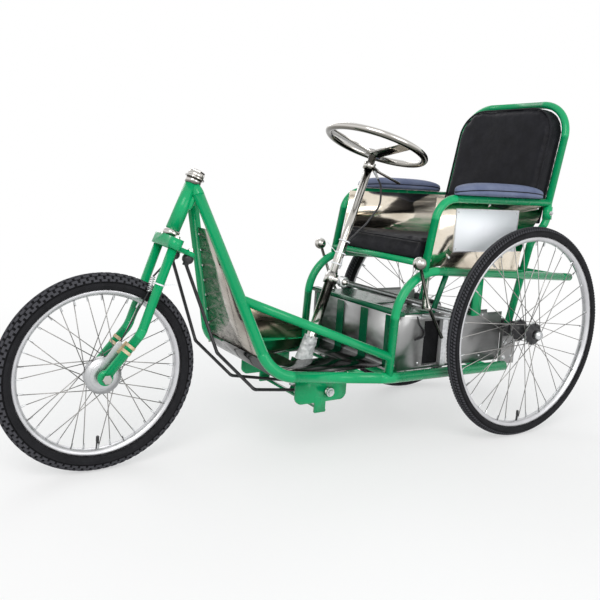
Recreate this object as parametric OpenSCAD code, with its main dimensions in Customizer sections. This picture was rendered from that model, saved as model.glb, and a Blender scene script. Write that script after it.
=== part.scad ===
// Lever-driven invalid tricycle: two rear wheels, one steered front wheel, a seat between
// the rear wheels, and a rocking column that carries the steering handwheel.
// Lengths are in millimetres. X points forward, Y to the rider's left, Z up.
// Places named *_x are measured forward from the rear axle.

/* [Wheels] */
// Distance between the rear axle and the front axle
wheelbase = 1260; // [1150:5:1400]
// Distance from the centre plane to a rear wheel's own plane
half_track = 266; // [262:1:300]
// Outer radius of a rear tyre
rear_tyre_r = 330; // [320:1:345]
// Radius of a rear rim at its edge
rear_rim_r = 301; // [290:1:305]
// Width of a rear tyre
rear_tyre_w = 38; // [32:1:42]
// Spokes in a rear wheel, a multiple of four
rear_spokes = 36; // [28:4:40]
// Outer radius of the front tyre
front_tyre_r = 254; // [245:1:262]
// Radius of the front rim at its edge
front_rim_r = 214; // [205:1:218]
// Width of the front tyre
front_tyre_w = 50; // [40:1:56]
// Spokes in the front wheel, a multiple of four
front_spokes = 36; // [28:4:40]
// Spoke diameter
spoke_d = 2.4; // [2:0.1:3]

/* [Frame] */
// Diameter of the two main tubes
main_d = 30; // [25:1:34]
// Diameter of the side loops and side rails
side_d = 25; // [20:1:28]
// Diameter of the arm tubes and of the backrest hoop
arm_d = 23; // [18:1:25]
// Distance from the centre plane to the side loops
side_y = 220; // [212:1:228]
// Forward place of the steering head's middle
head_x = 1060; // [1030:1:1100]
// Height of the steering head's middle
head_z = 660; // [620:1:700]
// Backward lean of the steering head, in degrees
head_angle = 22.5; // [18:0.5:28]
// Length of the head tube
head_len = 130; // [100:1:160]
// Height of the base tubes under the seat
base_z = 214; // [200:1:240]
// Height of the side loops' long rails at the front
rail_z = 524; // [500:1:540]
// Height that the rails lose towards the rear
rail_drop = 32; // [0:1:50]
// Thickness of the stainless sheets
sheet_t = 1.5; // [1:0.1:3]

/* [Seat] */
// Forward place of the seat's front rail
seat_x = 409; // [390:1:430]
// Height of the seat's front rail
seat_z = 544; // [530:1:560]
// Depth of the seat cushion
seat_depth = 430; // [380:1:450]
// Width of the seat cushion
seat_w = 392; // [340:1:400]
// Thickness of the seat cushion
seat_t = 58; // [40:1:80]
// Backward lean of the backrest, in degrees
recline = 11.5; // [8:0.5:16]
// Height of the backrest hoop's top
back_top_z = 1060; // [1000:1:1100]
// Height of the armrest tubes
arm_z = 732; // [700:1:750]
// Thickness of the armrest pads
arm_pad_t = 26; // [18:1:36]
// Width of the armrest pads
arm_pad_w = 58; // [40:1:64]

/* [Drive lever] */
// Forward place of the rocking shaft
rock_x = 665; // [650:1:690]
// Height of the rocking shaft
rock_z = 184; // [176:1:190]
// Backward lean of the column at rest, in degrees
column_lean = 18.5; // [16:0.5:20]
// Diameter of the column tube
column_d = 24; // [20:1:26]
// Distance along the column from the rocking shaft to the handwheel
column_len = 698; // [650:1:740]
// Distance along the column from the rocking shaft to the rod's pin
rod_pin_h = 304; // [280:1:330]
// Distance from the centre plane to the connecting rod
rod_y = 62; // [58:1:68]
// Diameter of the connecting rod
rod_d = 16; // [12:1:18]
// Radius of the crank on the driven wheel's axle
crank_r = 73; // [60:1:80]

/* [Steering] */
// Radius of the handwheel, to the middle of its rim
wheel_r = 150; // [130:1:170]
// Thickness of the handwheel's rim
wheel_rim_d = 21; // [16:1:24]
// Distance of the steering rods' joints behind their turning axes
arm_back = 51; // [45:1:60]
// Distance of the steering rods' joints from the centre plane
arm_side = 45; // [40:1:50]
// Diameter of the steering rods
tie_d = 9; // [7:1:11]

/* [Hidden] */
$fn = 48;

green = "#0f9d58";
chrome = "#d5d8da";
steel = "#aeb3b6";
black = "#1c1c1e";
vinyl = "#17181b";
slate = "#4a566b";
rubber = "#2b2b2b";
white = "#f0f0ec";

// The middle of the whole length stands over the origin
rear_x = rear_tyre_r - (wheelbase + front_tyre_r + rear_tyre_r) / 2;
// Running clearance of a shaft in its bore, on the radius
running = 0.05;
main_r = main_d / 2;
side_r = side_d / 2;
arm_r = arm_d / 2;
rail_tilt = atan2(rail_drop, 640);

// Turns children to the left side and the right side
module both_sides() {
    children();
    mirror([0, 1, 0]) children();
}

// Moves a place measured from the rear axle into the model's own frame
module placed() {
    translate([rear_x, 0, 0]) children();
}

function unit(v) = v / norm(v);
function turn_at(p, i) = let (c = unit(p[i] - p[i - 1]) * unit(p[i + 1] - p[i])) acos(min(1, max(-1, c)));
function trim_at(p, bends, i) = (i == 0 || i == len(p) - 1) ? 0 : bends[i - 1] * tan(turn_at(p, i) / 2);
function flip_y(p) = [for (q = p) [q[0], -q[1], q[2]]];
function reversed(p) = [for (i = [len(p) - 1 : -1 : 0]) p[i]];

// A round bar from a to b
module bar(a, b, r) {
    d = b - a;
    translate(a)
        rotate([0, acos(d[2] / norm(d)), atan2(d[1], d[0])])
            cylinder(h = norm(d), r = r);
}

// A bend stands a little proud of its straight tubes, which reach a little way into it
elbow_swell = 0.3;
elbow_lap = 2;

// A round bend at corner i of the path p
module elbow(p, bends, i, r) {
    bend = bends[i - 1];
    into = unit(p[i] - p[i - 1]);
    out = unit(p[i + 1] - p[i]);
    angle = turn_at(p, i);
    axis = unit(cross(into, out));
    start = p[i] - into * trim_at(p, bends, i);
    radial = cross(into, axis);
    middle = start - radial * bend;
    multmatrix([
        [radial[0], into[0], axis[0], middle[0]],
        [radial[1], into[1], axis[1], middle[1]],
        [radial[2], into[2], axis[2], middle[2]],
        [0, 0, 0, 1]
    ])
        rotate_extrude(angle = angle) translate([bend, 0]) circle(r = r + elbow_swell);
}

// A tube of radius r along the points p, with a bend radius for each inner point
module bent_tube(p, bends, r) {
    last = len(p) - 2;
    for (i = [0 : last]) {
        along = unit(p[i + 1] - p[i]);
        from = trim_at(p, bends, i) - (i == 0 ? 0 : elbow_lap);
        to = trim_at(p, bends, i + 1) - (i == last ? 0 : elbow_lap);
        bar(p[i] + along * from, p[i + 1] - along * to, r);
    }
    for (i = [1 : len(p) - 2]) elbow(p, bends, i, r);
}

// A ring about Y from y0 to y1
module y_ring(y0, y1, r, bore) {
    translate([0, y0, 0]) rotate([-90, 0, 0]) difference() {
        cylinder(h = y1 - y0, r = r);
        translate([0, 0, -1]) cylinder(h = y1 - y0 + 2, r = bore);
    }
}

// A disc or shaft about Y from y0 to y1
module y_disc(y0, y1, r) {
    translate([0, y0, 0]) rotate([-90, 0, 0]) cylinder(h = y1 - y0, r = r);
}

// The steering head: local Z runs up its axis, local X forward
module on_head(h = 0) {
    translate([head_x, 0, head_z]) rotate([0, -head_angle, 0]) translate([0, 0, h]) children();
}
function head_point(o, y, h) = [
    head_x + o * cos(head_angle) - h * sin(head_angle),
    y,
    head_z + o * sin(head_angle) + h * cos(head_angle)
];

// The column at rest: local Z runs up from the rocking shaft
module on_column(h = 0) {
    translate([rock_x, 0, rock_z]) rotate([0, -column_lean, 0]) translate([0, 0, h]) children();
}

// The lower steering arm: its axis is parallel to the steering head's
module on_arm(h = 0) {
    translate([rock_x, 0, rock_z]) rotate([0, -head_angle, 0]) translate([0, 0, h]) children();
}
function arm_point(o, y, h) = [
    rock_x + o * cos(head_angle) - h * sin(head_angle),
    y,
    rock_z + o * sin(head_angle) + h * cos(head_angle)
];

// The seat: local X runs forward along the tilted seat, from its front rail
module on_seat() {
    translate([seat_x, 0, seat_z]) rotate([0, -rail_tilt, 0]) children();
}

// The backrest: local Z runs up along the leaning hoop from the armrest's height
back_x = -100;
module on_back() {
    translate([back_x, 0, arm_z]) rotate([0, -recline, 0]) children();
}

// Steering head
steerer_r = 14;
cup_r = 21;
cup_len = 16;

module head_tube() {
    color(green) placed() on_head(-head_len / 2 + 15) difference() {
        cylinder(h = head_len, r = 19);
        translate([0, 0, -1]) cylinder(h = head_len + 2, r = steerer_r + running);
    }
}

head_low = -head_len / 2 + 15;
head_high = head_low + head_len;

module headset_cups() {
    color(chrome) placed() on_head() for (h = [head_low - cup_len, head_high]) {
        translate([0, 0, h]) difference() {
            cylinder(h = cup_len, r = cup_r);
            translate([0, 0, -1]) cylinder(h = cup_len + 2, r = steerer_r + running);
        }
    }
}

// Main tubes: from the steering head down beside the leg shield and back under the floor
main_path = [
    head_point(-18, 22, 60),
    [870, 190, 256],
    [505, side_y, base_z + 8],
    [34, side_y, base_z]
];
main_bends = [100, 600];

module main_tube_left() {
    color(green) placed() bent_tube(main_path, main_bends, main_r);
}

module main_tube_right() {
    color(green) placed() bent_tube(flip_y(main_path), main_bends, main_r);
}

// Side rails: the upper edges of the foot well
rail_front = main_path[0] * 0.425 + main_path[1] * 0.575;
rail_rear = [506, side_y, 283];

module side_rails() {
    color(green) placed() both_sides() bar(rail_front, rail_rear, side_r);
}

// Side loops: up from the base tubes and back beside the seat
loop_front_x = 506;
loop_rear_x = -205;
loop_path = [
    [loop_front_x, side_y, base_z + 8],
    [loop_front_x - 14, side_y, rail_z + 6],
    [loop_rear_x, side_y, rail_z - rail_drop]
];
loop_bends = [140];

module side_loops() {
    color(green) placed() both_sides() bent_tube(loop_path, loop_bends, side_r);
}

// Arm tubes: up from the loops and back to the backrest's posts
arm_path = [
    [404, side_y, rail_z],
    [368, side_y, arm_z],
    [back_x, side_y, arm_z]
];
arm_bends = [75];

module arm_tubes() {
    color(green) placed() both_sides() bent_tube(arm_path, arm_bends, arm_r);
}

// Backrest hoop, and the posts that reach from it down to the axle housings
post_y = 200;
hoop_corner = 112;
hoop_top_x = back_x - (back_top_z - arm_z) * tan(recline);
hoop_path = [
    [back_x, side_y, arm_z],
    [hoop_top_x, side_y, back_top_z - arm_r],
    [hoop_top_x, -side_y, back_top_z - arm_r],
    [back_x, -side_y, arm_z]
];
post_path = [
    [8, post_y, rear_tyre_r + 16],
    [-45, 212, 605],
    [back_x, side_y, 672],
    [back_x, side_y, arm_z + 6]
];
post_bends = [60, 60];

module backrest_hoop() {
    color(green) placed() bent_tube(hoop_path, [hoop_corner, hoop_corner], arm_r);
}

module rear_posts() {
    color(green) placed() both_sides() bent_tube(post_path, post_bends, arm_r);
}

// Sleeves that clasp the posts where the arm tubes meet them
module post_sleeves() {
    color(green) placed() both_sides() translate([back_x, side_y, 0]) translate([0, 0, 680]) difference() {
        cylinder(h = arm_z - 680 - 12, r = arm_r + 3);
        translate([0, 0, -1]) cylinder(h = arm_z, r = arm_r);
    }
}

// Top of the floor pan, and its half width
pan_z = 246;
pan_y = 178;

// Cross tubes: forward place, height, radius and half length of each
seat_bar_r = 9.5;
seat_low = -4;
seat_rear_x = -20;
seat_rear_z = seat_z - (seat_x - seat_rear_x) * tan(rail_tilt) + seat_low - seat_bar_r;
floor_bar_r = 9;
cross_half = side_y - 4;
cross_table = [
    [seat_x - 6, seat_z, seat_bar_r, cross_half],
    [seat_rear_x, seat_rear_z, seat_bar_r, cross_half],
    [loop_rear_x + 25, rail_z - rail_drop + 2, 10, cross_half],
    [470, base_z + 5, 12, cross_half],
    [120, base_z + 5, 12, cross_half],
    [rock_x - 80, pan_z - sheet_t - floor_bar_r, floor_bar_r, 204],
    [rock_x + 90, pan_z - sheet_t - floor_bar_r, floor_bar_r, 198]
];
module cross_tubes() {
    color(green) placed() for (c = cross_table) bar([c[0], -c[3], c[1]], [c[0], c[3], c[1]], c[2]);
}

// Bearing housings of the rear stub axles
axle_r = 10;
housing_in = 130;
housing_out = 214;
module axle_housings() {
    color(black) placed() both_sides() translate([0, 0, rear_tyre_r]) {
        y_ring(housing_in, housing_out, 24, axle_r + running);
        translate([-26, 196, base_z - rear_tyre_r]) difference() {
            cube([60, 10, rear_tyre_r - base_z]);
            translate([26, -1, rear_tyre_r - base_z]) rotate([-90, 0, 0]) cylinder(h = 12, r = 20);
        }
    }
}

// Brackets under the floor that carry the rocking shaft and the lower steering arm
bracket_y = 150;
bracket_t = 8;
shaft_r = 10;
arm_pin_r = 8;
strap_h = -56;
module pivot_brackets() {
    color(green) placed() {
        both_sides() difference() {
            translate([rock_x, bracket_y, rock_z]) {
                bracket_plate();
            }
            translate([rock_x, bracket_y - 1, rock_z]) rotate([-90, 0, 0]) cylinder(h = bracket_t + 2, r = shaft_r + running);
        }
        on_arm(strap_h) {
            translate([-20, -bracket_y - 4, 0]) cube([40, 2 * bracket_y + 8, 6]);
            cylinder(h = -strap_h - 16, r = arm_pin_r);
        }
    }
}

// Outline of a bracket in the plane of X and Z, at its own rocking shaft
module bracket_plate() {
    rotate([90, 0, 0]) translate([0, 0, -bracket_t]) linear_extrude(bracket_t) union() {
        translate([-62, -8]) square([168, 58]);
        translate([-42, -28]) square([128, 40]);
        for (x = [-42, 86]) translate([x, -8]) circle(r = 20);
        translate([6, -58]) square([34, 40]);
    }
}

// Stainless leg shield between the main tubes, from the head down to the knee of the tubes
shield_top = main_path[0] * 0.8 + main_path[1] * 0.2;
shield_low = main_path[0] * 0.08 + main_path[1] * 0.92;
module leg_shield() {
    drop = norm([shield_top[0] - shield_low[0], 0, shield_top[2] - shield_low[2]]);
    lean = atan2(shield_top[0] - shield_low[0], shield_top[2] - shield_low[2]);
    color(steel) placed() translate([shield_top[0], 0, shield_top[2]]) rotate([0, lean, 0]) rotate([0, -90, 0])
        linear_extrude(sheet_t) polygon([
            [0, -shield_top[1]], [0, shield_top[1]],
            [-drop, shield_low[1]], [-drop, -shield_low[1]]
        ]);
}

// Stainless floor pan: down from the shield, round a bend and back to the box, with a slot for the column
pan_bend = 40;
pan_path = [
    [shield_low[0], 0, shield_low[2]],
    [864, 0, pan_z],
    [486, 0, pan_z]
];
function pan_line(r) = let (
    t = turn_at(pan_path, 1),
    c = [pan_path[1][0] - pan_bend * tan(t / 2), pan_z + pan_bend]
) [for (i = [0 : 8]) let (a = -90 + t * (1 - i / 8)) c + r * [cos(a), sin(a)]];
module floor_pan() {
    inner = pan_line(pan_bend);
    outer = pan_line(pan_bend + sheet_t);
    down = unit(pan_path[0] - pan_path[1]);
    off = sheet_t * [-down[2], down[0]];
    top = [pan_path[0][0], pan_path[0][2]];
    color(steel) placed() difference() {
        rotate([90, 0, 0]) translate([0, 0, -pan_y]) linear_extrude(2 * pan_y) polygon(concat(
            [top], inner, [[pan_path[2][0], pan_z], [pan_path[2][0], pan_z - sheet_t]], reversed(outer), [top - off]
        ));
        translate([rock_x - 62, -46, pan_z - 10]) cube([116, 92, 20]);
    }
}

// Stainless panel between the right side rail and the right floor tube
module foot_panel() {
    corners = [rail_front * 0.95 + rail_rear * 0.05, rail_rear, [rail_rear[0], side_y - 2, base_z + 10], main_path[1]];
    inside = [for (c = corners) [c[0], -c[1], c[2]]];
    outside = [for (c = inside) c - [0, sheet_t, 0]];
    color(steel) placed() polyhedron(points = concat(inside, outside), faces = [
        [0, 1, 2], [0, 2, 3], [6, 5, 4], [7, 6, 4], [0, 4, 5, 1], [1, 5, 6, 2], [2, 6, 7, 3], [3, 7, 4, 0]
    ]);
}

// Stainless box under the seat, with a window in each side and side walls that reach back beside the crank
box_y = 203;
box_front = 484;
box_rear = 112;
wall_rear = 45;
box_low = base_z + 17.3;
box_high = 396;
rear_wall_high = 322;
window_x = [308, 368];
window_z = [box_low + 10, 374];
module underseat_box() {
    color(steel) placed() {
        difference() {
            translate([box_rear, -box_y, box_low]) cube([box_front - box_rear, 2 * box_y, box_high - box_low]);
            translate([box_rear + sheet_t, -box_y + sheet_t, box_low + sheet_t])
                cube([box_front - box_rear - 2 * sheet_t, 2 * (box_y - sheet_t), box_high]);
            translate([box_rear - 5, -box_y + sheet_t, rear_wall_high]) cube([20, 2 * (box_y - sheet_t), 100]);
            translate([window_x[0], -box_y - 5, window_z[0]])
                cube([window_x[1] - window_x[0], 2 * box_y + 10, window_z[1] - window_z[0]]);
        }
        both_sides() translate([wall_rear, box_y - sheet_t, box_low])
            cube([box_rear - wall_rear + 2, sheet_t, box_high - 10 - box_low]);
    }
}

// Green lid over the front of the box, notched for the rod, with its beam, and the struts on the left
beam_t = 12;
lid_t = 4;
lid_rear = 330;
module box_beam() {
    lid_z = box_high + 0.3;
    color(green) placed() {
        translate([box_front - 22, -side_y, lid_z]) cube([22, 2 * side_y, beam_t]);
        difference() {
            translate([lid_rear, -box_y, lid_z]) cube([box_front - lid_rear, 2 * box_y, lid_t]);
            translate([lid_rear - 5, rod_y - 18, lid_z - 5]) cube([105, 36, 20]);
        }
        bar([lid_rear + 8, box_y - 4, lid_z + 2], [312, side_y - 3, rail_z - 8], 8);
    }
}

// Flat brace from the left rail down to the box
brace_x = [150, 186];
brace_t = 9;
module seat_brace() {
    color(green) placed() translate([brace_x[0], box_y - 0.5, box_high - 16])
        cube([brace_x[1] - brace_x[0], brace_t, rail_z - box_high]);
}

// Clearance of a cushion from what it rests on
seat_gap = 0.3;
module seat_base() {
    color(black) placed() on_seat() translate([-seat_depth, -seat_w / 2, seat_low])
        cube([seat_depth - 6 - seat_bar_r - seat_gap, seat_w, seat_bar_r - seat_low]);
}

// Stainless panels under the armrests
panel_low = 576;
module side_panels() {
    color(steel) placed() both_sides() translate([0, side_y - side_r, 0]) rotate([90, 0, 0])
        linear_extrude(sheet_t) polygon([
            [388, rail_z + 6], [366, arm_z], [-84, arm_z], [-84, 690], [-26, 616], [-10, panel_low],
            [290, panel_low], [330, rail_z + 12]
        ]);
}

// Blank plate on the left panel
module name_plate() {
    color(white) placed() translate([20, side_y - side_r, 576]) cube([268, 1, 128]);
}

module seat_cushion() {
    color(vinyl) placed() on_seat() translate([-seat_depth, -seat_w / 2, seat_bar_r + seat_gap])
        cube([seat_depth, seat_w, seat_t]);
}

// Back pad inside the hoop, with round upper corners
pad_t = 48;
pad_half = side_y - arm_r - 3 - seat_gap;
pad_low = -72;
pad_corner = 98;
module back_pad() {
    high = (back_top_z - arm_z - arm_r) / cos(recline) - arm_r - 1;
    color(vinyl) placed() on_back() translate([-8, 0, 0]) rotate([90, 0, 90]) linear_extrude(pad_t) union() {
        translate([-pad_half, pad_low]) square([2 * pad_half, high - pad_corner - pad_low]);
        translate([pad_corner - pad_half, pad_low]) square([2 * (pad_half - pad_corner), high - pad_low]);
        for (s = [-1, 1]) translate([s * (pad_half - pad_corner), high - pad_corner]) circle(r = pad_corner);
    }
}

arm_pad_rear = -46;
arm_pad_len = 352;
module arm_pads() {
    color(slate) placed() both_sides() translate([arm_pad_rear, side_y - arm_pad_w / 2 + 6, arm_z + arm_r + seat_gap])
        linear_extrude(arm_pad_t) union() {
            translate([arm_pad_w / 2, 0]) square([arm_pad_len - arm_pad_w, arm_pad_w]);
            for (x = [arm_pad_w / 2, arm_pad_len - arm_pad_w / 2]) translate([x, arm_pad_w / 2]) circle(r = arm_pad_w / 2);
        }
}

// Parking brake levers beside the seat, with a ball on each
module parking_levers() {
    color(chrome) placed() both_sides() {
        translate([446, side_y + 24, 550]) sphere(r = 19);
        bar([444, side_y + 24, 546], [392, side_y + 20, 420], 5);
        bar([392, side_y + 20, 420], [330, side_y + 18, 330], 5);
        bar([392, side_y - 4, 420], [392, side_y + 25, 420], 6);
        bar([392, side_y, 414], [392, side_y, rail_z - 8], 7);
    }
}

// Open sockets at the rear ends of the side loops
socket_len = 40;
socket_bore = 9;
module rail_sockets() {
    color(green) placed() both_sides() translate(loop_path[2]) rotate([0, -rail_tilt, 0]) rotate([0, -90, 0])
        difference() {
            cylinder(h = socket_len, r = side_r);
            translate([0, 0, 2]) cylinder(h = socket_len, r = socket_bore);
        }
}

// Fork
leg_y = 50;
leg_r = 12;
crown_t = 28;
crown_h = head_low - cup_len - 2 - crown_t;
lug_t = 12;
crown_r = 19;
front_axle_r = 6;
kink = [-88, 104];
module fork_crown() {
    color(green) placed() on_head() {
        translate([0, 0, crown_h]) linear_extrude(crown_t) union() {
            translate([-crown_r, -leg_y]) square([2 * crown_r, 2 * leg_y]);
            for (s = [-1, 1]) translate([0, s * leg_y]) circle(r = crown_r);
        }
        translate([0, 0, crown_h]) linear_extrude(lug_t) union() {
            translate([-arm_back, -arm_side - 14]) square([arm_back, 2 * arm_side + 28]);
            for (s = [-1, 1]) translate([-arm_back, s * arm_side]) circle(r = 14);
        }
        translate([0, 0, crown_h + crown_t]) cylinder(h = head_low - cup_len - crown_h - crown_t, r = cup_r);
        translate([0, 0, crown_h]) cylinder(h = head_high + cup_len - crown_h + 18, r = steerer_r);
    }
}

// Lock nut on top of the steering head
module head_nut() {
    color(chrome) placed() on_head(head_high + cup_len) difference() {
        cylinder(h = 16, r = cup_r + 1);
        translate([0, 0, -1]) cylinder(h = 20, r = steerer_r + running);
    }
}

module fork_legs() {
    top = head_point(0, 0, crown_h);
    color(green) placed() both_sides() {
        bent_tube([
            [top[0], leg_y, top[2]],
            [wheelbase + kink[0], leg_y, front_tyre_r + kink[1]],
            [wheelbase, leg_y, front_tyre_r]
        ], [70], leg_r);
        translate([wheelbase, 0, front_tyre_r]) y_disc(leg_y - 5, leg_y + 5, 19);
    }
}

module front_axle() {
    color(steel) placed() translate([wheelbase, 0, front_tyre_r]) {
        y_disc(-72, 72, front_axle_r);
        both_sides() y_disc(leg_y + 12, leg_y + 22, 10);
    }
}

module brake_plate() {
    color(steel) placed() translate([wheelbase, 0, front_tyre_r]) y_ring(27, 34, 46, front_axle_r);
}

// Wheels, about Y at the origin
module tyre(r, rim_r, w) {
    rotate([90, 0, 0]) rotate_extrude($fn = 96) difference() {
        translate([r - w / 2, 0]) circle(r = w / 2);
        translate([rim_r - w, -w]) square([w, 2 * w]);
    }
}

module rim(rim_r, w) {
    rotate([90, 0, 0]) rotate_extrude($fn = 96) polygon([
        [rim_r, -w / 2], [rim_r, w / 2], [rim_r - 9, w / 2], [rim_r - 16, w / 5],
        [rim_r - 16, -w / 5], [rim_r - 9, -w / 2]
    ]);
}

// Spokes cross on their way from a flange to the rim, half of them on each flange
module spokes(count, hub_rs, rim_r, flange_y) {
    per_side = count / 2;
    for (side = [-1, 1], i = [0 : per_side - 1]) {
        lead = (i % 2 == 0) ? 62 : -62;
        seat = (i % 2 == 0) ? 3 : -3;
        a = (i + (side > 0 ? 0.5 : 0)) * 360 / per_side;
        y0 = side * flange_y + seat;
        y1 = side * 5 + seat * 0.6;
        hub_r = hub_rs[side < 0 ? 0 : 1];
        bar([hub_r * cos(a + lead), y0, hub_r * sin(a + lead)], [rim_r * cos(a), y1, rim_r * sin(a)], spoke_d / 2);
    }
}

rim_drop = 16;
rear_hub_r = 34;
rear_flange = 26;
front_hub_r = 30;
front_flange = 22;
drum_r = 44;

module at_front() { placed() translate([wheelbase, 0, front_tyre_r]) children(); }
module at_left() { placed() translate([0, half_track, rear_tyre_r]) children(); }
module at_right() { placed() translate([0, -half_track, rear_tyre_r]) mirror([0, 1, 0]) children(); }

module front_tyre() { color(rubber) at_front() tyre(front_tyre_r, front_rim_r, front_tyre_w); }
module front_rim() { color(chrome) at_front() rim(front_rim_r, 28); }
module front_spokes_set() { color(chrome) at_front() spokes(front_spokes, [front_hub_r - 3, drum_r - 3], front_rim_r - 12, front_flange); }
module front_hub() {
    color(steel) at_front() difference() {
        union() {
            y_disc(-30, 26, 17);
            y_disc(-front_flange - 2.5, -front_flange + 2.5, front_hub_r);
            y_disc(8, 26, drum_r);
        }
        y_disc(-31, 27, front_axle_r + running);
    }
}

module rear_hub() {
    difference() {
        union() {
            y_disc(-34, 36, 21);
            both_sides() y_disc(rear_flange - 2.5, rear_flange + 2.5, rear_hub_r);
        }
        y_disc(-35, 37, axle_r);
    }
}

module left_tyre() { color(rubber) at_left() tyre(rear_tyre_r, rear_rim_r, rear_tyre_w); }
module left_rim() { color(chrome) at_left() rim(rear_rim_r, 26); }
module left_spokes() { color(chrome) at_left() spokes(rear_spokes, [rear_hub_r - 3, rear_hub_r - 3], rear_rim_r - 12, rear_flange); }
module left_hub() { color(black) at_left() rear_hub(); }
module right_tyre() { color(rubber) at_right() tyre(rear_tyre_r, rear_rim_r, rear_tyre_w); }
module right_rim() { color(chrome) at_right() rim(rear_rim_r, 26); }
module right_spokes() { color(chrome) at_right() spokes(rear_spokes, [rear_hub_r - 3, rear_hub_r - 3], rear_rim_r - 12, rear_flange); }
module right_hub() { color(black) at_right() rear_hub(); }

// Stub axles, and the crank on the driven one
rod_gap = 2;
pin_x = rock_x - rod_pin_h * sin(column_lean);
pin_z = rock_z + rod_pin_h * cos(column_lean);
rod_slope = atan2(pin_z - rear_tyre_r, pin_x);
crank_y = rod_y + rod_d / 2 + 14;
nut_y = half_track + 54;

module drive_axle() {
    color(black) placed() translate([0, 0, rear_tyre_r]) {
        y_disc(crank_y, nut_y - 12, axle_r);
        y_disc(nut_y - 18, nut_y, 12);
        rotate([0, -rod_slope, 0]) {
            translate([-crank_r, crank_y, -14]) cube([crank_r, 12, 28]);
            translate([-crank_r, 0, 0]) y_disc(crank_y, crank_y + 12, 14);
            y_disc(crank_y, crank_y + 12, 20);
            translate([-crank_r, 0, 0]) y_disc(rod_y + rod_d / 2 + rod_gap, crank_y, 7);
        }
    }
}

module free_axle() {
    color(black) placed() translate([0, 0, rear_tyre_r]) mirror([0, 1, 0]) {
        y_disc(housing_in - 8, nut_y - 12, axle_r);
        y_disc(nut_y - 18, nut_y, 12);
        y_disc(housing_in - 10, housing_in - 2, 15);
    }
}

// Drive lever: yoke on the rocking shaft, sleeve round the column and the rod's pin
yoke_y = 28;
yoke_t = 9;
sleeve_r = column_d / 2 + 3;
sleeve_low = 30;
rod_pin_r = 7;
module lever_yoke() {
    color(chrome) placed() on_column() difference() {
        union() {
            translate([0, 0, sleeve_low]) cylinder(h = rod_pin_h + 22 - sleeve_low, r = sleeve_r);
            translate([-16, -yoke_y - yoke_t, sleeve_low]) cube([32, 2 * (yoke_y + yoke_t), 16]);
            both_sides() {
                translate([-16, yoke_y, 0]) cube([32, yoke_t, sleeve_low + 10]);
                y_disc(yoke_y, yoke_y + yoke_t, 16);
                y_disc(yoke_y, bracket_y + bracket_t + 10, shaft_r);
            }
            translate([0, 0, rod_pin_h]) {
                translate([0, 0, -16]) cylinder(h = 32, r = sleeve_r + 5);
                y_disc(0, rod_y + rod_d / 2 + 8, rod_pin_r);
            }
        }
        translate([0, 0, -60]) cylinder(h = column_len, r = column_d / 2 + running);
        sphere(r = 24);
    }
}

// White boot round the foot of the column
module lever_boot() {
    color(white) placed() on_column(sleeve_low + 18) difference() {
        cylinder(h = 74, r1 = 27, r2 = 22);
        translate([0, 0, -1]) cylinder(h = 80, r = sleeve_r);
    }
}

// Connecting rod from the lever's pin to the crank
module connecting_rod() {
    reach = norm([pin_x, pin_z - rear_tyre_r]) + crank_r;
    color(steel) placed() translate([pin_x, rod_y, pin_z]) rotate([0, -rod_slope, 0]) difference() {
        union() {
            bar([-10, 0, 0], [-reach + 10, 0, 0], rod_d / 2);
            y_disc(-rod_d / 2, rod_d / 2, 16);
            translate([-reach, 0, 0]) y_disc(-rod_d / 2, rod_d / 2, 15);
        }
        y_disc(-rod_d, rod_d, rod_pin_r + running);
        translate([-reach, 0, 0]) y_disc(-rod_d, rod_d, rod_pin_r + running);
    }
}

// Steering column and its handwheel
ball_r = 15;
module column_tube() {
    color(chrome) placed() on_column(ball_r + 2) cylinder(h = column_len - ball_r - 6, r = column_d / 2);
}

wheel_dish = 30;
wheel_spoke_w = 40;
module handwheel() {
    color(chrome) placed() on_column(column_len) {
        translate([0, 0, wheel_dish]) rotate_extrude($fn = 96) translate([wheel_r, 0]) circle(r = wheel_rim_d / 2);
        translate([0, 0, -4]) cylinder(h = 16, r = 24);
        for (a = [90, 210, 330]) rotate([0, 0, a]) rotate([0, -atan2(wheel_dish, wheel_r), 0])
            translate([10, -wheel_spoke_w / 2, -2]) cube([norm([wheel_r, wheel_dish]) - 12, wheel_spoke_w, 5]);
    }
}

// Brake lever on the column just under the handwheel
module brake_lever() {
    color(black) placed() on_column(column_len - 46) {
        difference() {
            cylinder(h = 20, r = column_d / 2 + 6);
            translate([0, 0, -1]) cylinder(h = 30, r = column_d / 2);
        }
        bar([-14, 0, 10], [-40, -10, 10], 7);
        bar([-38, -10, 10], [-110, 30, -4], 4);
    }
}

// Brake cable: out from under the handwheel in a bow and back to the column, then down along it
cable_r = 3;
cable_side = column_d / 2 + cable_r + 0.3;
cable_path = [
    [-24, -4, column_len - 40],
    [-70, -4, column_len - 72],
    [-88, 0, column_len - 128],
    [-60, 0, column_len - 200],
    [-cable_side, 0, column_len - 270],
    [-cable_side, 0, rod_pin_h + 40]
];
cable_bends = [40, 60, 60, 60];
module brake_cable() {
    color(black) placed() on_column() bent_tube(cable_path, cable_bends, cable_r);
}

// Lower steering arm on its pin, with the joint ball under the column
arm_h = -34;
module steering_arm() {
    color(steel) placed() difference() {
        union() {
            on_arm(arm_h) {
                cylinder(h = 26, r = 14);
                linear_extrude(8) union() {
                    translate([-arm_back - 8, -arm_side - 10]) square([20, 2 * arm_side + 20]);
                    translate([-arm_back, -12]) square([arm_back, 24]);
                }
            }
            translate([rock_x, 0, rock_z]) sphere(r = ball_r);
        }
        on_arm(strap_h) cylinder(h = -strap_h - 15, r = arm_pin_r + running);
    }
}

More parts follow.
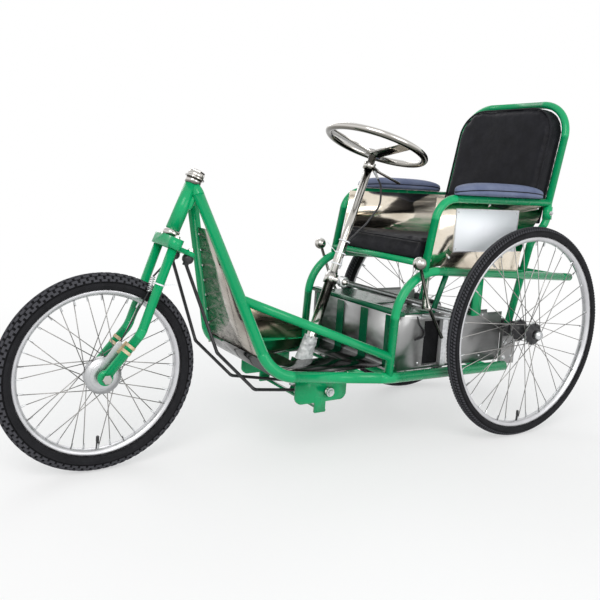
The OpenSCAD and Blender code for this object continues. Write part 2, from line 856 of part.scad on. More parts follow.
// Steering rods from the fork crown, round the foot well's front and back under the floor
tie_gap = 0.3;
tie_top = head_point(-arm_back, arm_side, crown_h - tie_gap);
tie_joint = 14;
tie_end = arm_point(-arm_back, arm_side, arm_h + 8 + tie_gap);
tie_path = [
    tie_top + [8, 0, -20],
    [969, 70, 297],
    [850, 70, 183],
    arm_point(-arm_back, arm_side, arm_h + 9 + tie_gap + tie_joint / 2)
];
module tie_rod() {
    bent_tube(tie_path, [22, 22], tie_d / 2);
    translate(tie_top) rotate([0, -head_angle, 0]) translate([0, 0, -26]) cylinder(h = 26, r = 8);
    translate(tie_end) rotate([0, -head_angle, 0]) cylinder(h = tie_joint, r = 8);
}
module tie_rod_left() { color(black) placed() tie_rod(); }
module tie_rod_right() { color(black) placed() mirror([0, 1, 0]) tie_rod(); }

head_tube();
headset_cups();
main_tube_left();
main_tube_right();
side_rails();
side_loops();
arm_tubes();
backrest_hoop();
rear_posts();
post_sleeves();
cross_tubes();
axle_housings();
pivot_brackets();
leg_shield();
floor_pan();
underseat_box();
foot_panel();
box_beam();
seat_brace();
seat_base();
side_panels();
name_plate();
seat_cushion();
back_pad();
arm_pads();
parking_levers();
rail_sockets();
fork_crown();
head_nut();
fork_legs();
front_axle();
brake_plate();
front_tyre();
front_rim();
front_spokes_set();
front_hub();
left_tyre();
left_rim();
left_spokes();
left_hub();
drive_axle();
right_tyre();
right_rim();
right_spokes();
right_hub();
free_axle();
lever_yoke();
lever_boot();
connecting_rod();
column_tube();
handwheel();
brake_lever();
brake_cable();
steering_arm();
tie_rod_left();
tie_rod_right();
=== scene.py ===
"""Looks of the lever-driven tricycle: finishes, tyres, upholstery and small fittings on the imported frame.

Everything is in metres, X forward, Y to the rider's left, Z up. Places named in millimetres go through
at(), which measures forward from the rear axle, as the part's own sizes do.
"""
import math

import bmesh
import bpy
from mathutils import Matrix, Vector, noise

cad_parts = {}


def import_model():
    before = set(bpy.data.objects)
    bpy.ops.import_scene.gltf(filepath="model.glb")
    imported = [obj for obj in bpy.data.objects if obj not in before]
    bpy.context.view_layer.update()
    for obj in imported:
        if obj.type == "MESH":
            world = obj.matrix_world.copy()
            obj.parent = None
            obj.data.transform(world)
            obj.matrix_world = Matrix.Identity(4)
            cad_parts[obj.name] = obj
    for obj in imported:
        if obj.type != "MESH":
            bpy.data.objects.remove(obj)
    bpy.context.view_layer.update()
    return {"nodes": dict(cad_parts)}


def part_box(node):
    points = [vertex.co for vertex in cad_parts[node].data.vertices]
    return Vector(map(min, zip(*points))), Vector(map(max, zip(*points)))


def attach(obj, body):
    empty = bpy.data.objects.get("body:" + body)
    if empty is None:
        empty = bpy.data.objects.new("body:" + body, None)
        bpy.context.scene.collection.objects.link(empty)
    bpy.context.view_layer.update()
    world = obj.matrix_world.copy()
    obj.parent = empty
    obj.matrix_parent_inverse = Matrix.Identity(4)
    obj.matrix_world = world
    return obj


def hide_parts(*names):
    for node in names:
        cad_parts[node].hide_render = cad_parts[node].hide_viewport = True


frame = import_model()
NODES = frame["nodes"]
REAR_AXLE_X = sum(c.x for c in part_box("left_rim")) / 2


def at(x, y, z):
    """A place in millimetres, measured forward from the rear axle, as a point of the frame."""
    return Vector((x / 1000 + REAR_AXLE_X, y / 1000, z / 1000))


# Materials

TREAD = "tread"
NODE_SHARP, PIECE_SHARP = math.radians(28), math.radians(35)
WELD_GAP = 0.00002


class Finish:
    """A Principled material, with short calls for the textures that drive it."""

    def __init__(self, name, colour, roughness, **sockets):
        self.material = bpy.data.materials.new(name)
        self.material.use_nodes = True
        self.nodes = self.material.node_tree.nodes
        self.links = self.material.node_tree.links
        self.shader = self.nodes["Principled BSDF"]
        self.shader.inputs["Base Color"].default_value = (*colour, 1)
        self.shader.inputs["Roughness"].default_value = roughness
        for socket, value in sockets.items():
            self.shader.inputs[socket.replace("_", " ")].default_value = value
        self.normal = None

    def add(self, kind, **values):
        node = self.nodes.new(kind)
        for key, value in values.items():
            setattr(node, key, value)
        return node

    def place(self, stretch=(1, 1, 1)):
        coords = self.add("ShaderNodeTexCoord")
        mapping = self.add("ShaderNodeMapping")
        mapping.inputs["Scale"].default_value = stretch
        self.links.new(coords.outputs["Object"], mapping.inputs["Vector"])
        return mapping.outputs["Vector"]

    def noise(self, scale, detail=4.0, stretch=(1, 1, 1)):
        texture = self.add("ShaderNodeTexNoise")
        texture.inputs["Scale"].default_value = scale
        texture.inputs["Detail"].default_value = detail
        self.links.new(self.place(stretch), texture.inputs["Vector"])
        return texture.outputs["Fac"]

    def cells(self, scale, feature="F1"):
        texture = self.add("ShaderNodeTexVoronoi", feature=feature)
        texture.inputs["Scale"].default_value = scale
        self.links.new(self.place(), texture.inputs["Vector"])
        return texture.outputs["Distance"]

    def facing_up(self, unevenness):
        """0 where the surface faces down and 1 where it faces up, broken up a little."""
        coords = self.add("ShaderNodeTexCoord")
        split = self.add("ShaderNodeSeparateXYZ")
        self.links.new(coords.outputs["Normal"], split.inputs["Vector"])
        total = self.add("ShaderNodeMath", operation="ADD")
        self.links.new(self.spread(split.outputs["Z"], -1, 1, 0, 1), total.inputs[0])
        self.links.new(self.spread(self.noise(9, 4), 0, 1, -unevenness, unevenness), total.inputs[1])
        return total.outputs["Value"]

    def spread(self, value, low, high, to_low, to_high):
        ranged = self.add("ShaderNodeMapRange")
        for socket, number in zip(("From Min", "From Max", "To Min", "To Max"), (low, high, to_low, to_high)):
            ranged.inputs[socket].default_value = number
        self.links.new(value, ranged.inputs["Value"])
        return ranged.outputs["Result"]

    def tint(self, value, stops):
        """Base colour from a texture, by stops of (place, colour)."""
        ramp = self.add("ShaderNodeValToRGB")
        elements = ramp.color_ramp.elements
        while len(elements) < len(stops):
            elements.new(0.5)
        for element, (place, colour) in zip(elements, stops):
            element.position = place
            element.color = (*colour, 1)
        self.links.new(value, ramp.inputs["Fac"])
        self.links.new(ramp.outputs["Color"], self.shader.inputs["Base Color"])

    def rough(self, value, low, high):
        self.links.new(self.spread(value, 0.3, 0.7, low, high), self.shader.inputs["Roughness"])

    def bump(self, height, strength, distance):
        node = self.add("ShaderNodeBump")
        node.inputs["Strength"].default_value = strength
        node.inputs["Distance"].default_value = distance
        self.links.new(height, node.inputs["Height"])
        if self.normal:
            self.links.new(self.normal, node.inputs["Normal"])
        self.normal = node.outputs["Normal"]
        self.links.new(self.normal, self.shader.inputs["Normal"])


def enamel(name, colour):
    """Gloss enamel over steel, a little uneven in depth, with a faint orange peel."""
    made = Finish(name, colour, 0.22, Specular_IOR_Level=0.22, Coat_Weight=0.2, Coat_Roughness=0.05)
    made.tint(made.noise(6, 4), [
        (0.3, tuple(c * 0.88 for c in colour)), (0.6, colour), (0.8, tuple(c * 1.06 for c in colour))])
    made.rough(made.noise(40, 4), 0.16, 0.3)
    made.bump(made.noise(260, 2), 0.06, 0.0006)
    return made.material


def chrome_plate():
    """Bright plating with a painted reflection in its colour, dark where it faces down and light where it faces up, as
    of ground and open sky, with fine handling marks.
    """
    made = Finish("chrome_plate", (0.5, 0.49, 0.46), 0.1, Metallic=1.0)
    # Painted reflection: base colour set by which way the surface faces, a dark ground band below, a bright horizon
    # and a paler sky above.
    made.tint(made.facing_up(0.12), [
        (0.08, (0.13, 0.125, 0.11)), (0.36, (0.20, 0.19, 0.17)), (0.47, (0.44, 0.42, 0.39)),
        (0.6, (0.72, 0.70, 0.67)), (0.78, (0.46, 0.44, 0.41)), (0.95, (0.62, 0.61, 0.59))])
    made.rough(made.noise(46, 6), 0.06, 0.2)
    made.bump(made.noise(900, 2), 0.04, 0.0004)
    return made.material


def sheet_metal(name, dark, middle, light, smooth, dull):
    """Rolled sheet: fine lines along its length, smears, and gentle waves in what it mirrors. Its mottled colour, dark
    to light, is partly smears and partly a painted reflection of the surroundings.
    """
    made = Finish(name, middle, smooth, Metallic=1.0)
    # Colour mottled dark to light: smears, together with a painted reflection of the surroundings.
    made.tint(made.noise(5, 6, (1, 1, 2)), [(0.25, dark), (0.5, middle), (0.8, light)])
    made.rough(made.noise(30, 6, (0.2, 1, 3)), smooth, dull)
    made.bump(made.noise(11, 2), 0.16, 0.01)
    made.bump(made.noise(900, 2, (0.03, 1, 1)), 0.05, 0.0004)
    return made.material


def cast_alloy(name, colour, grain):
    """Matt aluminium of rims and castings, with a fine grain."""
    made = Finish(name, colour, 0.4, Metallic=1.0)
    made.tint(made.noise(18, 5), [(0.3, tuple(c * 0.84 for c in colour)), (0.65, colour)])
    made.rough(made.noise(80, 4), 0.32, 0.5)
    made.bump(made.noise(grain, 3), 0.1, 0.0005)
    return made.material


def zinc():
    """Zinc plate, dull and cloudy."""
    made = Finish("zinc_plate", (0.60, 0.61, 0.62), 0.36, Metallic=1.0)
    made.tint(made.cells(120), [(0.1, (0.52, 0.53, 0.54)), (0.7, (0.68, 0.69, 0.70))])
    made.rough(made.noise(70, 5), 0.26, 0.46)
    made.bump(made.noise(500, 3), 0.08, 0.0005)
    return made.material


def satin_black():
    """Black paint, worn a little grey in patches."""
    colour = (0.022, 0.022, 0.024)
    made = Finish("satin_black", colour, 0.4, Specular_IOR_Level=0.3, Coat_Weight=0.1, Coat_Roughness=0.2)
    made.tint(made.noise(80, 6), [
        (0.35, colour), (0.68, tuple(c * 1.6 for c in colour)), (0.8, tuple(c * 3 for c in colour))])
    made.rough(made.noise(120, 4), 0.3, 0.52)
    made.bump(made.noise(600, 2), 0.1, 0.0006)
    return made.material


def vinyl(name, colour, light):
    """Grained upholstery vinyl: small pebbles with creases between them, and a soft sheen."""
    made = Finish(name, colour, 0.5, Specular_IOR_Level=0.12)
    made.tint(made.noise(22, 5), [(0.3, colour), (0.7, light)])
    made.rough(made.noise(90, 5), 0.4, 0.6)
    made.bump(made.noise(26, 3), 0.18, 0.004)
    made.bump(made.cells(620, "DISTANCE_TO_EDGE"), 0.28, 0.0006)
    return made.material


def rubber():
    """Tyre rubber: lighter on the tread blocks, darker in the grooves between them."""
    made = Finish("tyre_rubber", (0.02, 0.02, 0.022), 0.72, Specular_IOR_Level=0.12)
    # Colour lighter where the tread attribute marks a raised block, and darker in the grooves, broken up by noise.
    blocks = made.add("ShaderNodeAttribute", attribute_name=TREAD)
    block_tone = made.add("ShaderNodeMath", operation="MULTIPLY_ADD")
    made.links.new(made.noise(34, 6), block_tone.inputs[0])
    block_tone.inputs[1].default_value = 0.4
    made.links.new(blocks.outputs["Fac"], block_tone.inputs[2])
    made.tint(block_tone.outputs["Value"], [
        (0.15, (0.006, 0.006, 0.007)), (0.4, (0.015, 0.015, 0.017)), (0.75, (0.026, 0.026, 0.03)),
        (1.0, (0.06, 0.06, 0.068))])
    made.rough(made.noise(150, 4), 0.6, 0.86)
    made.bump(made.noise(900, 3), 0.16, 0.0005)
    return made.material


def plywood():
    """Dark stained board with a grain along the seat."""
    made = Finish("stained_board", (0.10, 0.07, 0.05), 0.6)
    made.tint(made.noise(30, 6, (0.3, 4, 4)), [(0.3, (0.06, 0.04, 0.028)), (0.7, (0.16, 0.11, 0.075))])
    made.bump(made.noise(200, 4, (0.1, 2, 2)), 0.2, 0.0006)
    return made.material


def plate_white():
    """Printed plate left blank: off-white plastic with faint scuffs."""
    made = Finish("blank_plate", (0.90, 0.92, 0.95), 0.5)
    made.tint(made.noise(12, 4), [(0.25, (0.82, 0.84, 0.88)), (0.5, (0.89, 0.91, 0.95))])
    made.rough(made.noise(60, 4), 0.42, 0.6)
    made.bump(made.noise(500, 2), 0.05, 0.0004)
    return made.material


def wrap_white():
    """Soft white wrap, creased, its colour mottled from grey to white."""
    made = Finish("soft_wrap", (0.76, 0.76, 0.75), 0.3, Coat_Weight=0.3)
    made.tint(made.noise(45, 6), [(0.28, (0.42, 0.43, 0.44)), (0.5, (0.70, 0.71, 0.72)), (0.75, (0.86, 0.86, 0.86))])
    made.bump(made.noise(130, 5, (1, 1, 2.5)), 0.5, 0.002)
    return made.material


def tape():
    """Beige tape and straps on the fork."""
    made = Finish("beige_tape", (0.60, 0.47, 0.30), 0.5)
    made.tint(made.noise(160, 5), [(0.3, (0.48, 0.35, 0.20)), (0.6, (0.64, 0.51, 0.33)), (0.8, (0.72, 0.62, 0.46))])
    made.bump(made.noise(400, 3), 0.2, 0.0005)
    return made.material


FINISHES = {
    "green_paint": enamel("green_enamel", (0.003, 0.37, 0.135)),
    "dark_green": enamel("dark_green_enamel", (0.002, 0.115, 0.05)),
    "chrome_plate": chrome_plate(),
    # Painted reflection: the warm brown tones of the stainless and panel sheets stand for brown ground mirrored in
    # them, not the steel's own colour.
    "stainless": sheet_metal("stainless_sheet", (0.22, 0.19, 0.16), (0.48, 0.44, 0.39), (0.66, 0.62, 0.56), 0.1, 0.3),
    "panel_sheet": sheet_metal("panel_sheet", (0.50, 0.43, 0.34), (0.82, 0.74, 0.62), (0.90, 0.84, 0.74), 0.08, 0.24),
    "floor_sheet": sheet_metal("floor_sheet", (0.05, 0.05, 0.05), (0.13, 0.13, 0.13), (0.34, 0.33, 0.32), 0.06, 0.2),
    "box_sheet": sheet_metal("box_sheet", (0.24, 0.24, 0.24), (0.32, 0.32, 0.32), (0.40, 0.40, 0.40), 0.28, 0.46),
    "satin_alloy": cast_alloy("satin_alloy", (0.66, 0.66, 0.68), 900),
    "cast_alloy": cast_alloy("cast_alloy", (0.60, 0.61, 0.62), 300),
    "spoke_wire": cast_alloy("spoke_wire", (0.36, 0.35, 0.34), 1200),
    "zinc_steel": zinc(),
    "black_paint": satin_black(),
    "black_vinyl": vinyl("black_vinyl", (0.008, 0.008, 0.010), (0.014, 0.014, 0.018)),
    "slate_vinyl": vinyl("slate_vinyl", (0.115, 0.14, 0.235), (0.17, 0.20, 0.30)),
    # Painted reflection: the foot sheet's brown tones stand for mirrored brown ground as well.
    "foot_sheet": sheet_metal("foot_sheet", (0.20, 0.16, 0.12), (0.38, 0.31, 0.23), (0.52, 0.45, 0.35), 0.22, 0.4),
    "ply_base": plywood(),
    "tyre_rubber": rubber(),
    "white_plate": plate_white(),
    "white_boot": wrap_white(),
    "beige_tape": tape(),
}
NODE_FINISH = {
    "dark_green": "box_beam",
    "chrome_plate": "headset_cups head_nut parking_levers lever_yoke column_tube handwheel brake_lever",
    "stainless": "leg_shield",
    "foot_sheet": "foot_panel",
    "panel_sheet": "side_panels",
    "floor_sheet": "floor_pan",
    "box_sheet": "underseat_box",
    "satin_alloy": "front_rim left_rim right_rim",
    "cast_alloy": "brake_plate front_hub",
    "spoke_wire": "front_spokes_set left_spokes right_spokes",
    "zinc_steel": "front_axle connecting_rod steering_arm drive_axle free_axle",
    "black_paint": "axle_housings left_hub right_hub tie_rod_left tie_rod_right",
    "ply_base": "seat_base",
    "white_plate": "name_plate",
}


def paint_nodes():
    """Gives every CAD node its finish, green enamel unless listed, and smooth shading up to a sharp edge."""
    finish_of = {name: finish for finish, names in NODE_FINISH.items() for name in names.split()}
    for name, node in NODES.items():
        node.data.materials.clear()
        node.data.materials.append(FINISHES[finish_of.get(name, "green_paint")])
        node.modifiers.new("join_faces", "WELD").merge_threshold = WELD_GAP
        node.data.shade_smooth()
        node.data.set_sharp_from_angle(angle=NODE_SHARP)


# Mesh helpers


def piece(name, bm, material, body):
    """A new object on a body, from a bmesh."""
    data = bpy.data.meshes.new(name)
    bmesh.ops.recalc_face_normals(bm, faces=bm.faces)
    bm.to_mesh(data)
    bm.free()
    made = bpy.data.objects.new(name, data)
    bpy.context.scene.collection.objects.link(made)
    data.materials.append(material)
    data.shade_smooth()
    data.set_sharp_from_angle(angle=PIECE_SHARP)
    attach(made, body)
    return made


def loft(rings, closed_path=False):
    """A bmesh skinned over closed rings of points that all have the same count, capped unless its path closes."""
    bm = bmesh.new()
    rows = [[bm.verts.new(p) for p in ring] for ring in rings]
    count = len(rows[0])
    for i in range(len(rows) if closed_path else len(rows) - 1):
        a, b = rows[i], rows[(i + 1) % len(rows)]
        for j in range(count):
            k = (j + 1) % count
            bm.faces.new((a[j], a[k], b[k], b[j]))
    if not closed_path:
        bm.faces.new(rows[0])
        bm.faces.new(rows[-1])
    return bm


def frame_of(axis):
    """Two unit vectors square to an axis."""
    axis = axis.normalized()
    side = axis.cross(Vector((0, 0, 1)) if abs(axis.z) < 0.9 else Vector((1, 0, 0))).normalized()
    return side, axis.cross(side)


def tube_rings(points, radius, sides=12, closed=False):
    """Rings of a round tube along points, with no twist between them."""
    count = len(points)
    rings, side = [], None
    for i in range(count):
        ahead = points[(i + 1) % count] if closed or i + 1 < count else points[i]
        behind = points[i - 1] if closed or i else points[i]
        along = (ahead - behind).normalized()
        side = frame_of(along)[0] if side is None else (side - along * side.dot(along)).normalized()
        up = along.cross(side)
        rings.append([
            points[i] + (side * math.cos(t) + up * math.sin(t)) * radius
            for t in (2 * math.pi * k / sides for k in range(sides))
        ])
    return rings


def smooth_line(points, steps=8, closed=False):
    """A curve through the points, as a finer list."""
    count = len(points)
    fine = []
    for i in range(count if closed else count - 1):
        near = range(i - 1, i + 3)
        a, b, c, d = (points[k % count if closed else max(0, min(count - 1, k))] for k in near)
        for s in range(steps):
            t = s / steps
            fine.append(0.5 * (2 * b + (c - a) * t + (2 * a - 5 * b + 4 * c - d) * t * t
                               + (3 * b - a - 3 * c + d) * t ** 3))
    return fine if closed else fine + [points[-1]]


def add_turned(bm, place, axis, profile, sides=16):
    """Adds a turned shape along axis from place; profile lists (height, radius)."""
    axis = axis.normalized()
    side, up = frame_of(axis)
    rows = [[
        bm.verts.new(place + axis * height + (side * math.cos(t) + up * math.sin(t)) * radius)
        for t in (2 * math.pi * k / sides for k in range(sides))
    ] for height, radius in profile]
    for low, high in zip(rows, rows[1:]):
        for j in range(sides):
            k = (j + 1) % sides
            bm.faces.new((low[j], low[k], high[k], high[j]))
    bm.faces.new(rows[0])
    bm.faces.new(rows[-1])


def add_rod(bm, a, b, radius, sides=10, end_radius=None):
    """Adds a round bar between two points."""
    add_turned(bm, a, b - a, [(0, radius), ((b - a).length, end_radius or radius)], sides)


def add_bolt(bm, place, axis, size):
    """Adds a hexagon head on its washer, facing along axis; size is the head's radius."""
    add_turned(bm, place, axis, [(-0.0005, size * 1.35), (size * 0.22, size * 1.3)], 20)
    add_turned(bm, place, axis, [(0, size), (size * 0.75, size), (size * 0.88, size * 0.9)], 6)
    add_turned(bm, place, axis, [(size * 0.8, size * 0.5), (size * 1.15, size * 0.42)], 12)


def add_dome(bm, place, axis, radius, height):
    """Adds a low round rivet or screw head."""
    levels = [level * math.pi / 8 for level in range(4)]
    add_turned(bm, place, axis, [(math.sin(a) * height - 0.0003, radius * math.cos(a)) for a in levels], 14)


def add_band(bm, place, axis, inner, outer, width, sides=28):
    """Adds a flat ring round an axis."""
    axis = axis.normalized()
    side, up = frame_of(axis)
    rows = []
    for k in range(sides):
        t = 2 * math.pi * k / sides
        out = side * math.cos(t) + up * math.sin(t)
        rows.append([
            bm.verts.new(place + out * radius + axis * height)
            for radius, height in ((inner, -width / 2), (outer, -width / 2), (outer, width / 2), (inner, width / 2))
        ])
    for k in range(sides):
        a, b = rows[k], rows[(k + 1) % sides]
        for j in range(4):
            bm.faces.new((a[j], a[(j + 1) % 4], b[(j + 1) % 4], b[j]))


def add_plate(bm, low, high):
    """Adds a flat plate between two opposite corners, in any order."""
    xs, ys, zs = (sorted(pair) for pair in zip(low, high))
    corners = [bm.verts.new((x, y, z)) for x in xs for y in ys for z in zs]
    for face in ((0, 1, 3, 2), (4, 6, 7, 5), (0, 4, 5, 1), (2, 3, 7, 6), (0, 2, 6, 4), (1, 5, 7, 3)):
        bm.faces.new([corners[k] for k in face])


def add_sheet(bm, points, across):
    """Adds a flat sheet with an outline of points, as thick as across is long."""
    near = [bm.verts.new(p) for p in points]
    far = [bm.verts.new(p + across) for p in points]
    bm.faces.new(near)
    bm.faces.new(far)
    for j in range(len(near)):
        k = (j + 1) % len(near)
        bm.faces.new((near[j], near[k], far[k], far[j]))


def eased(made, width):
    """Rounds the edges of a piece a little."""
    bevel = made.modifiers.new("eased", "BEVEL")
    bevel.width, bevel.segments = width, 2


# Tyres

KNOB_DEPTH, SHOULDER_DEPTH, KNOB_SHARE = 0.0042, 0.0034, 0.66
RIB_DEPTH, BLOCK_DEPTH, EDGE_DEPTH, BLOCK_SHARE = 0.0018, 0.0016, 0.0012, 0.62
BEAD_LINE = 0.0007


def knobs(turn, lean):
    """Depth of the front tyre's grooves: four staggered rows of blocks on each side of the crown."""
    rows = ((0, 15, 0.0), (19, 38, 0.5), (42, 60, 0.0), (63, 78, 0.5))
    for low, high, shift in rows:
        if low <= abs(lean) <= high:
            return 0.0 if (turn + shift + (0.25 if lean > 0 else 0)) % 1 <= KNOB_SHARE else KNOB_DEPTH
    return KNOB_DEPTH if abs(lean) < 78 else SHOULDER_DEPTH if abs(lean) < 84 else 0.0


def ribs(turn, lean):
    """Depth of a rear tyre's grooves: a centre rib, two grooves, and fine slanted blocks on the shoulders."""
    lean = abs(lean)
    if lean < 12:
        return 0.0
    if lean < 17 or 36 < lean < 41:
        return RIB_DEPTH
    if lean < 66:
        return 0.0 if (turn + lean / 60) % 1 <= BLOCK_SHARE else BLOCK_DEPTH
    return EDGE_DEPTH if lean < 80 else 0.0


def tyre(node, body, tread, pitches, per_pitch, across):
    """A tyre in the place of its solid: the same section, with tread blocks and a bead line."""
    low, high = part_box(node)
    centre, radius, half = (low + high) / 2, (high.z - low.z) / 2, (high.y - low.y) / 2
    rim_low, rim_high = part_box(node.replace("tyre", "rim"))
    rim_radius = (rim_high.z - rim_low.z) / 2
    open_angle = math.degrees(math.acos((rim_radius - radius + half) / half))
    rings, raised = [], []
    count = pitches * per_pitch
    for i in range(count):
        turn = 2 * math.pi * i / count
        out = Vector((math.cos(turn), 0, math.sin(turn)))
        ring = []
        for j in range(across + 1):
            lean = open_angle * (2 * j / across - 1)
            depth = tread(pitches * i / count, lean)
            raised.append(0.0 if depth else 1.0 if abs(lean) < 80 else 0.2)
            section = half - depth
            if 100 <= abs(lean) <= 106:
                section += BEAD_LINE
            section_out = section * math.cos(math.radians(lean))
            ring.append(centre + out * (radius - half + section_out)
                        + Vector((0, section * math.sin(math.radians(lean)), 0)))
        rings.append(ring)
    made = piece(node.replace("tyre", "tread"), loft(rings, closed_path=True), FINISHES["tyre_rubber"], body)
    made.data.attributes.new(TREAD, "FLOAT", "POINT").data.foreach_set("value", raised)
    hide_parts(node)


def wheel_fittings(wheel, count, half_width):
    """Spoke nipples round a rim, and its valve at the foot of the wheel."""
    low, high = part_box(f"{wheel}_rim")
    body = f"{wheel}_wheel"
    centre, radius = (low + high) / 2, (high.z - low.z) / 2
    bm = bmesh.new()
    for k in range(count):
        turn = 2 * math.pi * k / count
        out = Vector((math.cos(turn), 0, math.sin(turn)))
        across = Vector((0, half_width * (1 if k % 2 else -1), 0))
        root = centre + out * (radius - 0.0165) + across
        add_rod(bm, root, root - out * 0.013 + across * 0.15, 0.0026, 8, 0.0019)
    piece(f"{wheel}_nipples", bm, FINISHES["zinc_steel"], body)
    valve = bmesh.new()
    inward = Vector((0, 0, 1))
    add_turned(valve, centre - inward * (radius - 0.015), inward, [
        (0, 0.0046), (0.003, 0.0042), (0.018, 0.0036), (0.019, 0.0042), (0.031, 0.0042), (0.033, 0.0028)], 14)
    piece(f"{wheel}_valve", valve, FINISHES["black_paint"], body)


# Upholstery

AIR_PRESSURE, AIR_STIFFNESS, AIR_FRAMES = 4, 20, 20
VOXEL, HELD_DEPTH = 0.005, 0.008
PAD_PROUD, PAD_RINGS, PAD_SIDES = 0.008, 60, 48


def blow_up(made, held, cap):
    """Fills a closed mesh with air as cloth, held where it rests, and keeps each point within cap."""
    group = made.vertex_groups.new(name="held")
    group.add(held, 1.0, "REPLACE")
    rest = [v.co.copy() for v in made.data.vertices]
    cloth = made.modifiers.new("air", "CLOTH")
    cloth.settings.quality = 4
    cloth.settings.use_pressure = True
    cloth.settings.uniform_pressure_force = AIR_PRESSURE
    cloth.settings.tension_stiffness = AIR_STIFFNESS
    cloth.settings.effector_weights.gravity = 0
    cloth.settings.vertex_group_mass = group.name
    cloth.point_cache.frame_start, cloth.point_cache.frame_end = 1, AIR_FRAMES
    for number in range(1, AIR_FRAMES + 1):
        bpy.context.scene.frame_set(number)
    evaluated = made.evaluated_get(bpy.context.evaluated_depsgraph_get())
    moved = [v.co.copy() for v in evaluated.data.vertices]
    made.modifiers.remove(cloth)
    for vertex, a, b in zip(made.data.vertices, rest, moved):
        shift = b - a
        vertex.co = a + (shift.normalized() * min(shift.length, cap) if shift.length > 1e-9 else shift)
    bpy.context.scene.frame_set(1)


def stuffed(name, node, down, inset, cap, crease):
    """A padded piece of black vinyl in the place of a plain solid; down points to what it rests on."""
    material = FINISHES["black_vinyl"]
    bm = bmesh.new()
    bm.from_mesh(NODES[node].data)
    bmesh.ops.remove_doubles(bm, verts=bm.verts, dist=0.00005)
    centre = sum((v.co for v in bm.verts), Vector()) / len(bm.verts)
    for v in bm.verts:
        away = v.co - centre
        flat = away - down * away.dot(down)
        v.co -= flat.normalized() * inset
        if away.dot(down) < 0:
            v.co += down * inset
    made = piece(name, bm, material, "frame")
    remesh = made.modifiers.new("even", "REMESH")
    remesh.mode = "VOXEL"
    remesh.voxel_size = VOXEL
    even = bpy.data.meshes.new_from_object(made.evaluated_get(bpy.context.evaluated_depsgraph_get()))
    made.modifiers.clear()
    made.data = even
    even.materials.clear()
    even.materials.append(material)
    lowest = max(v.co.dot(down) for v in even.vertices)
    held = [v.index for v in even.vertices if v.co.dot(down) > lowest - HELD_DEPTH]
    blow_up(made, held, cap)
    kept = set(held)
    normals = [v.normal.copy() for v in even.vertices]
    for vertex, normal in zip(even.vertices, normals):
        if vertex.index not in kept:
            broad = noise.noise(vertex.co * 9) + 0.5 * noise.noise(vertex.co * 24)
            vertex.co += normal * crease * broad
    smooth = made.modifiers.new("relax", "SMOOTH")
    smooth.iterations = 4
    finer = made.modifiers.new("finer", "SUBSURF")
    finer.levels = finer.render_levels = 1
    even.shade_smooth()
    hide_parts(node)


def piping(name, points, radius):
    """A sewn cord of black vinyl round an edge of a cushion."""
    line = smooth_line(points, 6, closed=True)
    piece(name, loft(tube_rings(line, radius, 8, closed=True), closed_path=True), FINISHES["black_vinyl"], "frame")


def arm_pad(label, side):
    """A padded armrest: two sewn halves, thin at the ends, with the seam sunk at half its height."""
    low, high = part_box("arm_pads")
    inner = min(abs(v.co.y) for v in NODES["arm_pads"].data.vertices)
    middle, half_width = side * (high.y + inner) / 2, (high.y - inner) / 2 + PAD_PROUD / 2
    half_length, thick = (high.x - low.x) / 2 + PAD_PROUD, high.z - low.z + 1.7 * PAD_PROUD
    rings = []
    for i in range(PAD_RINGS + 1):
        along = -math.cos(math.pi * i / PAD_RINGS)
        taper = max(0.02, 1 - abs(along) ** 5) ** 0.5
        height = thick * (0.45 + 0.55 * max(0.0, 1 - abs(along) ** 3) ** 0.7)
        centre = Vector(((low.x + high.x) / 2 + along * half_length, middle, low.z))
        ring = []
        for k in range(PAD_SIDES):
            angle = 2 * math.pi * k / PAD_SIDES
            across, rise = math.cos(angle), math.sin(angle)
            wide = math.copysign(abs(across) ** 0.62, across)
            tall = 0.45 + (0.55 * rise ** 0.8 if rise > 0 else -0.45 * abs(rise) ** 0.5)
            sunk = 1 - 0.07 * math.exp(-(rise / 0.14) ** 2)
            ring.append(centre + Vector((0, wide * half_width * taper * sunk, tall * height)))
        rings.append(ring)
    made = piece(f"{label}_arm_pad", loft(rings), FINISHES["slate_vinyl"], "frame")
    made.data.shade_smooth()
    edge = [ring[0] for ring in rings[::3]] + [ring[PAD_SIDES // 2] for ring in reversed(rings[::3])]
    piping(f"{label}_arm_seam", edge, 0.0016)
    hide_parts("arm_pads")


def rounded(half, low, high, corner, foot, steps=5):
    """Outline of an upright panel as (across, up), its upper corners rounder than the lower ones."""
    turns = [math.pi / 2 * k / steps for k in range(steps + 1)]
    side = [(0, low), (half / 2, low)]
    side += [(half - foot + foot * math.sin(t), low + foot - foot * math.cos(t)) for t in turns]
    side += [(half, (low + high) / 3), (half, (low + high) * 0.55)]
    side += [(half - corner + corner * math.cos(t), high - corner + corner * math.sin(t)) for t in turns]
    side += [(half / 4, high)]
    return side + [(0, high)] + [(-y, z) for y, z in reversed(side[1:])]


def upholstery():
    """The seat and the backrest with their sewn edges, and the armrests."""
    stuffed("seat_pad", "seat_cushion", -SEAT_UP, inset=0.006, cap=0.011, crease=0.003)
    stuffed("back_cushion", "back_pad", -BACK_AHEAD, inset=0.002, cap=0.009, crease=0.002)
    seat = [(-8, 0), (-8, 150), (-14, 180), (-40, 191), (-215, 193), (-400, 190), (-424, 170), (-428, 0)]
    seat += [(x, -y) for x, y in reversed(seat[1:-1])]
    piping("seat_piping", [
        SEAT_FRONT + (SEAT_AHEAD * x + ACROSS * y + SEAT_UP * 62) / 1000 for x, y in seat], 0.0026)
    back = rounded(half=194, low=-62, high=300, corner=88, foot=14)
    piping("back_piping", [
        BACK_FOOT + (ACROSS * y + BACK_UP * z + BACK_AHEAD * 38) / 1000 for y, z in back], 0.003)
    for label, side in SIDES:
        arm_pad(label, side)


# Small fittings, whose places are in millimetres

